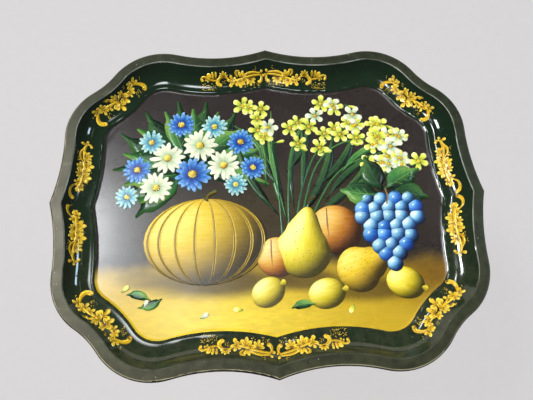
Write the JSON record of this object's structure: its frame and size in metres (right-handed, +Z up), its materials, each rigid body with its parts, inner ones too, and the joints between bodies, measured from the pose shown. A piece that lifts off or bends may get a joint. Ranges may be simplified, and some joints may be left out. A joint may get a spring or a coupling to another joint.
{
  "type": "folding tray table",
  "caption": "Scalloped japanned metal tray with a coved rim, on crossed tube legs that unclip on one side and fold flat under the tray.",
  "frame": {"origin": "on the ground under the middle of the tray", "axes": "+Z up, +X along the tray's length towards the clipped inner rail, +Y across the tray"},
  "size_m": [0.56, 0.439, 0.625],
  "materials": {
    "tray_japan": "glossy dark green japanned enamel with worn edges",
    "leg_paint": "satin dark green enamel on steel tube",
    "steel_wire": "bright drawn wire",
    "zinc_steel": "dull zinc plate",
    "spring_steel": "tempered spring steel",
    "rivet_steel": "bright rivet steel",
    "bush_nylon": "natural nylon",
    "pad_rubber": "matte",
    "foot_rubber": "matte black, scuffed"
  },
  "bodies": {
    "tray": {"tray_pan": "tray_japan", "rim_wire": "steel_wire", "pivot_batten": "zinc_steel", "clip_batten": "zinc_steel", "pivot_strap_rivets": "rivet_steel", "spring_clip_rivets": "rivet_steel", "pivot_strap_front": "zinc_steel", "pivot_strap_rear": "zinc_steel", "pivot_bush_front": "bush_nylon", "pivot_bush_rear": "bush_nylon", "spring_clip_front": "spring_steel", "spring_clip_rear": "spring_steel", "rail_pad_front": "pad_rubber", "rail_pad_rear": "pad_rubber"},
    "outer_legs": {"outer_leg_frame": "leg_paint", "outer_stretcher": "leg_paint", "outer_stretcher_rivets": "rivet_steel", "crossing_rivet_front": "rivet_steel", "crossing_rivet_rear": "rivet_steel", "spacer_washer_front": "bush_nylon", "spacer_washer_rear": "bush_nylon", "outer_foot_front": "foot_rubber", "outer_foot_rear": "foot_rubber"},
    "inner_legs": {"inner_leg_frame": "leg_paint", "inner_stretcher": "leg_paint", "leg_ferrule_front": "zinc_steel", "leg_ferrule_rear": "zinc_steel", "inner_foot_front": "foot_rubber", "inner_foot_rear": "foot_rubber"}
  },
  "joints": [
    {"name": "fold", "type": "hinge", "parent": "tray", "child": "outer_legs", "pos_m": [-0.178, 0, 0.58805], "axis": [0, -1, 0], "range_deg": [0, 54.77]},
    {"name": "inner_fold", "type": "hinge", "parent": "outer_legs", "child": "inner_legs", "pos_m": [0, 0, 0.31114], "axis": [0, -1, 0], "range_deg": [-109.54, 0]}
  ],
  "couplings": [
    {"joint": "inner_fold", "follows": "fold", "ratio": -2}
  ]
}
